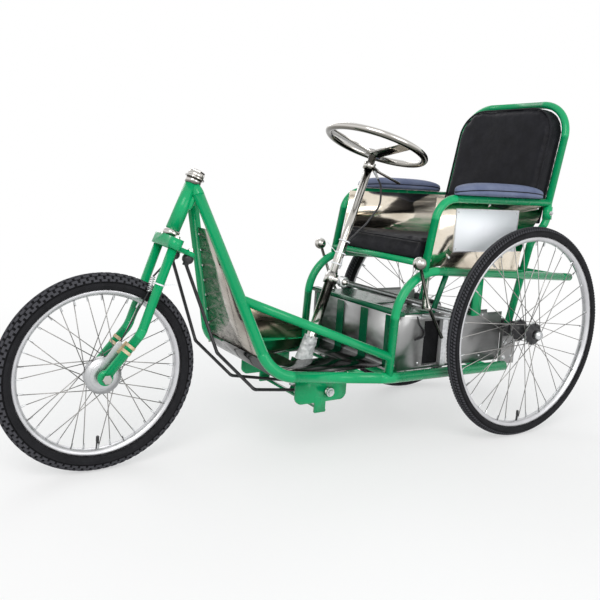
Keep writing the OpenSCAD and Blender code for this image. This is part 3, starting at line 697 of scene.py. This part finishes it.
WRAP_RINGS, WRAP_SIDES = 44, 72
BASE_HEIGHT = 214
SIDES = (("left", 1), ("right", -1))
REAR_AXLE_HEIGHT = 330
FRONT_AXLE = (1260, 254)
LEG_Y, LEG_KINK = 50, (1172, 358)
CABLE_POINTS = ((-24, -4, 658), (-70, -4, 626), (-88, 0, 570), (-60, 0, 498), (-15.3, 0, 428), (-15.3, 0, 344))
CABLE_BENDS = (0.04, 0.06, 0.06, 0.06)
CABLE_DIAMETER, CABLE_LENGTH = 0.006, 0.356


def on_column(ahead, across, up):
    """A place on the steering column, in millimetres from the rocking shaft."""
    return ROCK_SHAFT + (COLUMN_AHEAD * ahead + ACROSS * across + COLUMN_UP * up) / 1000


def on_head(ahead, across, up):
    """A place on the steering head, in millimetres from its middle."""
    return HEAD_MIDDLE + (HEAD_AHEAD * ahead + ACROSS * across + HEAD_UP * up) / 1000


def boot():
    """Soft white wrap round the foot of the lever, crumpled and frayed at its upper edge."""
    rings = []
    for i in range(WRAP_RINGS + 1):
        up = i / WRAP_RINGS
        ring = []
        for k in range(WRAP_SIDES):
            angle = 2 * math.pi * k / WRAP_SIDES
            around = Vector((math.cos(angle), math.sin(angle), 0))
            crumple = 3.4 * noise.noise(around * 2.2 + Vector((0, 0, up * 6))) + 1.8 * noise.noise(
                around * 5 + Vector((0, 0, up * 13)))
            fray = 6 * noise.noise(around * 3 + Vector((0, 0, 5))) if i == WRAP_RINGS else 0
            radius = 23 - 3 * up + 3 * (1 - up) ** 3 + crumple
            ring.append(on_column(radius * around.x, radius * around.y, 49 + 74 * up + fray))
        rings.append(ring)
    made = piece("foot_wrap", loft(rings), FINISHES["white_boot"], "drive_lever")
    made.data.shade_smooth()
    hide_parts("lever_boot")


def box_trim():
    """Straps down the box's front, the flaps, strips, links and hooks of its sides, and the panels' lower edges."""
    straps, flaps, skirts, links, plates = (bmesh.new() for _ in range(5))
    skirt = ((330, 536), (290, 577), (-10, 577), (-2, 514), (330, 522))
    tab = ((348, 228), (347, 214), (340, 208), (316, 206), (308, 210), (305, 228))
    hook = ((400, 389), (388, 366), (368, 342), (374, 326), (402, 320))
    for y in (-186, -70, 50, 166):
        add_plate(straps, at(484.2, y, 238), at(487, y + 34, 394))
    for label, side in SIDES:
        add_plate(flaps, at(300, side * 197, 244), at(376, side * 199, 382))
        add_sheet(skirts, [at(x, side * 206, z) for x, z in skirt], ACROSS * side * 0.0015)
        add_plate(plates, at(-26.8, side * 206, BASE_HEIGHT), at(34.8, side * 206.8, 306))
        for x in (34, -26.8):
            add_plate(plates, at(x, side * 195.5, BASE_HEIGHT), at(x + 0.8, side * 206, 328))
        add_sheet(straps, [at(x, side * 214, z) for x, z in tab], ACROSS * side * 0.012)
        add_plate(links, at(276, side * 203.2, 234), at(297, side * 205, 384))
        add_rod(links, at(432, side * 214, 430), at(282, side * 214, 394), 0.003)
        add_rod(links, at(387, side * 207, 394), at(257, side * 207, 374), 0.0042)
        wire = smooth_line([at(x, side * 204.5, z) for x, z in hook])
        piece(f"{label}_box_hook", loft(tube_rings(wire, 0.002, 8)), FINISHES["black_paint"], "frame")
    eased(piece("parking_links", links, FINISHES["zinc_steel"], "frame"), 0.0005)
    eased(piece("box_straps", straps, FINISHES["dark_green"], "frame"), 0.0008)
    eased(piece("window_flaps", flaps, FINISHES["tyre_rubber"], "frame"), 0.0006)
    piece("housing_plates", plates, FINISHES["box_sheet"], "frame")
    piece("panel_skirts", skirts, FINISHES["panel_sheet"], "frame")


def plate_edge():
    """Raised rim of the blank plate, with a screw in each corner."""
    rim, screws = bmesh.new(), bmesh.new()
    edges = ((20, 576, 288, 579), (20, 701, 288, 704), (20, 579, 23, 701), (285, 579, 288, 701))
    for low_x, low_z, high_x, high_z in edges:
        add_plate(rim, at(low_x, 208.4, low_z), at(high_x, 209.6, high_z))
    for x in (30, 278):
        for z in (586, 694):
            add_dome(screws, at(x, 208.5, z), ACROSS, 0.0032, 0.0016)
    piece("plate_rim", rim, FINISHES["zinc_steel"], "frame")
    piece("plate_screws", screws, FINISHES["zinc_steel"], "frame")


def frame_bolts():
    """Bolts of the axle housings and post sleeves, screws of the panels and rivets of the leg shield."""
    bolts, screws = bmesh.new(), bmesh.new()
    on_housing = ((-14, 236), (22, 236), (-14, 284), (22, 284))
    on_panel = ((372, 552), (356, 700), (150, 718), (-70, 712), (-16, 600), (300, 560))
    on_box = ((474, 250), (474, 386), (384, 250), (384, 386), (290, 250), (290, 386), (130, 250), (130, 380))
    for side in (1, -1):
        out = ACROSS * side
        for x, z in on_housing:
            add_bolt(bolts, at(x, side * 206, z), out, 0.0055)
        add_bolt(bolts, at(-100, side * 234, 700), out, 0.0055)
        for x, z in on_panel:
            add_dome(screws, at(x, side * 207.5, z), out, 0.0042, 0.0022)
        for x, z in on_box:
            add_dome(screws, at(x, side * 203, z), out, 0.0036, 0.002)
    face = (TUBE_TOP - TUBE_KNEE).cross(ACROSS).normalized()
    for row in range(7):
        place = TUBE_TOP.lerp(TUBE_KNEE, 0.24 + 0.1 * row)
        for side in (1, -1):
            for facing in (1, -1):
                spot = Vector((place.x, side * (place.y - 0.02), place.z)) + face * facing * 0.0012
                add_dome(screws, spot, face * facing, 0.0036, 0.0018)
    piece("frame_bolts", bolts, FINISHES["zinc_steel"], "frame")
    piece("panel_screws", screws, FINISHES["zinc_steel"], "frame")


def head_welds():
    """The tops of the two main tubes, drawn in and welded against the steering head."""
    welds = bmesh.new()
    for side in (1, -1):
        mirror = Vector((1, side, 1))
        end = TUBE_TOP * mirror
        along = (TUBE_TOP - TUBE_KNEE) * mirror
        seat = on_head(-5, side * 6, 84) - end
        add_turned(welds, end - along.normalized() * 0.002, along.normalized() * 0.5 + seat.normalized(),
                   [(0, 0.0154), (0.006, 0.0152), (0.016, 0.0134), (0.025, 0.0105), (0.032, 0.006)], 24)
        add_turned(welds, on_head(-14, side * 13, 20), HEAD_UP,
                   [(-0.004, 0.004), (0.01, 0.0075), (0.034, 0.0075), (0.044, 0.004)], 12)
    made = piece("head_welds", welds, FINISHES["green_paint"], "frame")
    made.data.shade_smooth()


def moving_bolts():
    """Nuts of the rocking shaft, bolts of the fork and head, ball joints under its lug, and the rear hubs' rings."""
    shaft, crown, joints = bmesh.new(), bmesh.new(), bmesh.new()
    for side in (1, -1):
        add_bolt(shaft, at(665, side * 168, 184), ACROSS * side, 0.0095)
        add_bolt(crown, on_head(0, side * 50, -68), HEAD_UP, 0.007)
        add_bolt(crown, on_head(-51, side * 45, -84), HEAD_UP, 0.008)
        add_turned(joints, on_head(-51, side * 45, -96), -HEAD_UP,
                   [(-0.001, 0.012), (0.003, 0.0145), (0.009, 0.0155), (0.015, 0.0135), (0.019, 0.0095)], 20)
        add_turned(crown, at(FRONT_AXLE[0], side * 61.5, FRONT_AXLE[1]), ACROSS * side,
                   [(0, 0.0125), (0.0095, 0.0125), (0.0112, 0.011)], 6)
    add_turned(crown, on_head(0, 0, 112), HEAD_UP, [(-0.0005, 0.0205), (0.004, 0.0205), (0.006, 0.0185)], 6)
    add_band(crown, on_head(0, 0, 97.5), HEAD_UP, 0.0215, 0.0262, 0.003, 40)
    for label, side in SIDES:
        rings = bmesh.new()
        for y in (240, 292):
            add_band(rings, at(0, side * y, REAR_AXLE_HEIGHT), ACROSS, 0.0338, 0.0362, 0.003, 48)
        piece(f"{label}_hub_rings", rings, FINISHES["zinc_steel"], f"{label}_wheel")
    piece("shaft_nuts", shaft, FINISHES["zinc_steel"], "drive_lever")
    piece("crown_bolts", crown, FINISHES["chrome_plate"], "fork")
    piece("joint_boots", joints, FINISHES["black_paint"], "fork")


def front_brake():
    """The drum's lever with its pull wire and spring, and the beige straps round the fork legs."""
    hub, tip = at(FRONT_AXLE[0], 34, FRONT_AXLE[1]), at(1223, 34, 332)
    along = (tip - hub).normalized()
    aside = along.cross(ACROSS)
    outline = []
    for centre, radius, start in ((tip, 0.008, 0.0), (hub, 0.025, math.pi)):
        for k in range(13):
            t = start + math.pi * k / 12
            outline.append(centre + aside * math.cos(t) * radius + along * math.sin(t) * radius)
    lever, wire, straps = bmesh.new(), bmesh.new(), bmesh.new()
    add_sheet(lever, outline, ACROSS * 0.0034)
    add_turned(lever, hub, ACROSS, [(0, 0.034), (0.0016, 0.033), (0.0028, 0.028)], 40)
    eased(piece("brake_arm", lever, FINISHES["cast_alloy"], "fork"), 0.0006)
    top, low = at(1140, 35, 500), at(1150, 35, 462)
    add_rod(wire, tip + ACROSS * 0.001, low, 0.0019, 8)
    add_rod(wire, top, on_head(-20, 34, -97), 0.0026, 8)
    piece("brake_wire", wire, FINISHES["black_paint"], "fork")
    side, up = frame_of(low - top)
    steps, per_half_turn = 96, 6
    coil = []
    for k in range(steps + 1):
        t = k * math.pi / per_half_turn
        coil.append(top.lerp(low, k / steps) + (side * math.cos(t) + up * math.sin(t)) * 0.0055)
    piece("brake_spring", loft(tube_rings(coil, 0.0011, 6)), FINISHES["zinc_steel"], "fork")
    for side_of in (1, -1):
        kink, end = (at(x, side_of * LEG_Y, z) for x, z in (LEG_KINK, FRONT_AXLE))
        for share in (0.3, 0.42):
            add_band(straps, kink.lerp(end, share), end - kink, 0.0121, 0.0134, 0.008)
    clip = ((1206, 340), (1198, 332), (1222, 306), (1230, 314))
    add_sheet(straps, [at(x, 35.5, z) for x, z in clip], ACROSS * 0.0024)
    piece("leg_straps", straps, FINISHES["beige_tape"], "fork")


def bent(points, radii, steps=6):
    """The points of a line with each inner corner rounded to its radius."""
    line = [points[0]]
    for before, corner, after, radius in zip(points, points[1:], points[2:], radii):
        back, on = before - corner, after - corner
        reach = radius / math.tan(back.angle(on) / 2)
        start, end = corner + back.normalized() * reach, corner + on.normalized() * reach
        for k in range(steps + 1):
            share = k / steps
            line.append(start.lerp(corner, share).lerp(corner.lerp(end, share), share))
    return line + [points[-1]]


def brake_cable():
    """The hand brake's cable, in a bow from its lever and back down along the column, with its two end sleeves."""
    route = bent([on_column(*point) for point in CABLE_POINTS], CABLE_BENDS)
    made = piece("brake_cable_run", loft(tube_rings(route, CABLE_DIAMETER / 2, 14)), FINISHES["black_paint"], "column")
    made.data.shade_smooth()
    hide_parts("brake_cable")
    sleeves = bmesh.new()
    for end, inner in ((route[0], route[1]), (route[-1], route[-2])):
        add_turned(sleeves, end, inner - end, [(-0.003, 0.0048), (0.012, 0.0048), (0.018, 0.0042), (0.03, 0.0034)], 16)
    piece("cable_sleeves", sleeves, FINISHES["satin_alloy"], "column")


def ties():
    """White ties round the cable on the column, and one on the near fork leg, each with its tail."""
    column, leg = bmesh.new(), bmesh.new()
    for up, turn in ((424, 0.6), (386, 2.4), (352, 4.0)):
        place = on_column(-3, 0, up)
        add_band(column, place, COLUMN_UP, 0.0157, 0.017, 0.0036)
        tail = ACROSS * math.cos(turn) + COLUMN_AHEAD * math.sin(turn)
        add_rod(column, place + tail * 0.016, place + tail * 0.048 + COLUMN_UP * 0.02, 0.0011, 6)
    top, kink = on_head(0, LEG_Y, -96), at(LEG_KINK[0], LEG_Y, LEG_KINK[1])
    place = top.lerp(kink, 0.42)
    add_band(leg, place, top - kink, 0.0121, 0.0134, 0.0036)
    add_rod(leg, place + Vector((-0.012, 0, -0.002)), place + Vector((-0.044, 0.006, -0.002)), 0.0011, 6)
    piece("column_ties", column, FINISHES["white_plate"], "column")
    piece("leg_tie", leg, FINISHES["white_plate"], "fork")


# The object

ACROSS = Vector((0, 1, 0))


def leaning(degrees):
    """The two unit vectors, ahead and up, of a part that leans back."""
    lean = math.radians(degrees)
    return Vector((math.cos(lean), 0, math.sin(lean))), Vector((-math.sin(lean), 0, math.cos(lean)))


COLUMN_AHEAD, COLUMN_UP = leaning(18.5)
HEAD_AHEAD, HEAD_UP = leaning(22.5)
SEAT_AHEAD, SEAT_UP = leaning(math.degrees(math.atan2(32, 640)))
BACK_AHEAD, BACK_UP = leaning(11.5)
ROCK_SHAFT, HEAD_MIDDLE = at(665, 0, 184), at(1060, 0, 660)
SEAT_FRONT, BACK_FOOT = at(409, 0, 544), at(-100, 0, 732)
TUBE_TOP, TUBE_KNEE = on_head(-18, 22, 60), at(870, 190, 256)

brake_cable()
paint_nodes()
tyre("front_tyre", "front_wheel", knobs, 74, 8, 64)
tyre("left_tyre", "left_wheel", ribs, 200, 5, 44)
tyre("right_tyre", "right_wheel", ribs, 200, 5, 44)
for wheel in ("front", "left", "right"):
    wheel_fittings(wheel, 36, 0.004)
upholstery()
boot()
box_trim()
plate_edge()
frame_bolts()
head_welds()
moving_bolts()
front_brake()
ties()


# Camera, light and floor

CAMERA_PLACE = at(1759.59, 1657.97, 773.81)
CAMERA_AZIMUTH, CAMERA_ELEVATION, CAMERA_ROLL = (math.radians(a) for a in (31.62, 7.35, 3.41))
FRAME_PIXELS = 600
FOCAL_SHARE = 688.69 / FRAME_PIXELS
PRINCIPAL_X, PRINCIPAL_Y = 283.10 / FRAME_PIXELS, 262.85 / FRAME_PIXELS
SENSOR = 36
FLOOR_RADIUS, GLOW_FROM, GLOW_TO = 9, 0.8, 2.2
MIDDLE = (0.05, 0, 0.45)


def camera():
    """The photograph's viewpoint, with the optical axis off the frame's middle as there."""
    ahead = Vector((
        -math.sin(CAMERA_AZIMUTH) * math.cos(CAMERA_ELEVATION),
        -math.cos(CAMERA_AZIMUTH) * math.cos(CAMERA_ELEVATION),
        -math.sin(CAMERA_ELEVATION),
    ))
    level = ahead.cross(Vector((0, 0, 1))).normalized()
    over = level.cross(ahead)
    right = level * math.cos(CAMERA_ROLL) + over * math.sin(CAMERA_ROLL)
    up = over * math.cos(CAMERA_ROLL) - level * math.sin(CAMERA_ROLL)
    data = bpy.data.cameras.new("camera")
    data.sensor_width = SENSOR
    data.lens = SENSOR * FOCAL_SHARE
    data.shift_x, data.shift_y = 0.5 - PRINCIPAL_X, PRINCIPAL_Y - 0.5
    made = bpy.data.objects.new("camera", data)
    turned = Matrix((right, up, -ahead)).transposed().to_4x4()
    made.matrix_world = Matrix.Translation(CAMERA_PLACE) @ turned
    bpy.context.scene.collection.objects.link(made)
    bpy.context.scene.camera = made


def lamp(name, place, aim, size, power, colour=(1, 1, 1)):
    """A square soft lamp that faces aim."""
    data = bpy.data.lights.new(name, "AREA")
    data.size, data.energy, data.color = size, power, colour
    made = bpy.data.objects.new(name, data)
    made.location = place
    made.rotation_mode = "QUATERNION"
    made.rotation_quaternion = (Vector(aim) - Vector(place)).to_track_quat("-Z", "Y")
    bpy.context.scene.collection.objects.link(made)


def seen_directly(nodes, links):
    """1 for camera, glossy and transmission rays, which see the plain background."""
    path = nodes.new("ShaderNodeLightPath")
    total = path.outputs["Is Camera Ray"]
    for ray in ("Is Glossy Ray", "Is Transmission Ray"):
        both = nodes.new("ShaderNodeMath")
        both.operation = "MAXIMUM"
        links.new(total, both.inputs[0])
        links.new(path.outputs[ray], both.inputs[1])
        total = both.outputs[0]
    return total


def world():
    """Soft light all round, and plain white where the background is seen."""
    made = bpy.data.worlds.new("studio")
    made.use_nodes = True
    nodes, links = made.node_tree.nodes, made.node_tree.links
    soft = nodes["Background"]
    soft.inputs["Color"].default_value = (0.96, 0.98, 1, 1)
    soft.inputs["Strength"].default_value = 0.6
    white = nodes.new("ShaderNodeBackground")
    white.inputs["Color"].default_value = (1, 1, 1, 1)
    white.inputs["Strength"].default_value = 1
    mix = nodes.new("ShaderNodeMixShader")
    links.new(seen_directly(nodes, links), mix.inputs["Fac"])
    links.new(soft.outputs["Background"], mix.inputs[1])
    links.new(white.outputs["Background"], mix.inputs[2])
    links.new(mix.outputs["Shader"], nodes["World Output"].inputs["Surface"])
    bpy.context.scene.world = made


def floor():
    """A pale floor that keeps the object's shadow and fades into the white background away from it."""
    bm = bmesh.new()
    bmesh.ops.create_circle(bm, cap_ends=True, radius=FLOOR_RADIUS, segments=96)
    data = bpy.data.meshes.new("floor")
    bm.to_mesh(data)
    bm.free()
    made = bpy.data.objects.new("floor", data)
    bpy.context.scene.collection.objects.link(made)
    pale = Finish("pale_floor", (0.93, 0.93, 0.93), 0.9)
    glow = pale.add("ShaderNodeEmission")
    glow.inputs["Strength"].default_value = 1
    lengths = pale.add("ShaderNodeVectorMath", operation="LENGTH")
    pale.links.new(pale.place(), lengths.inputs[0])
    share = pale.add("ShaderNodeMath", operation="MULTIPLY")
    pale.links.new(pale.spread(lengths.outputs["Value"], GLOW_FROM, GLOW_TO, 0.5, 1.0), share.inputs[0])
    pale.links.new(seen_directly(pale.nodes, pale.links), share.inputs[1])
    mix = pale.add("ShaderNodeMixShader")
    pale.links.new(share.outputs["Value"], mix.inputs["Fac"])
    pale.links.new(pale.shader.outputs["BSDF"], mix.inputs[1])
    pale.links.new(glow.outputs["Emission"], mix.inputs[2])
    pale.links.new(mix.outputs["Shader"], pale.nodes["Material Output"].inputs["Surface"])
    data.materials.append(pale.material)


camera()
lamp("key", (2.2, 2.6, 3.4), MIDDLE, 2.4, 84, (1, 0.985, 0.96))
lamp("fill", (-0.8, 3.4, 1.5), MIDDLE, 2.0, 26)
lamp("back", (-0.6, -3.2, 2.6), MIDDLE, 2.2, 26)
world()
floor()
bpy.context.scene.view_settings.view_transform = "Standard"
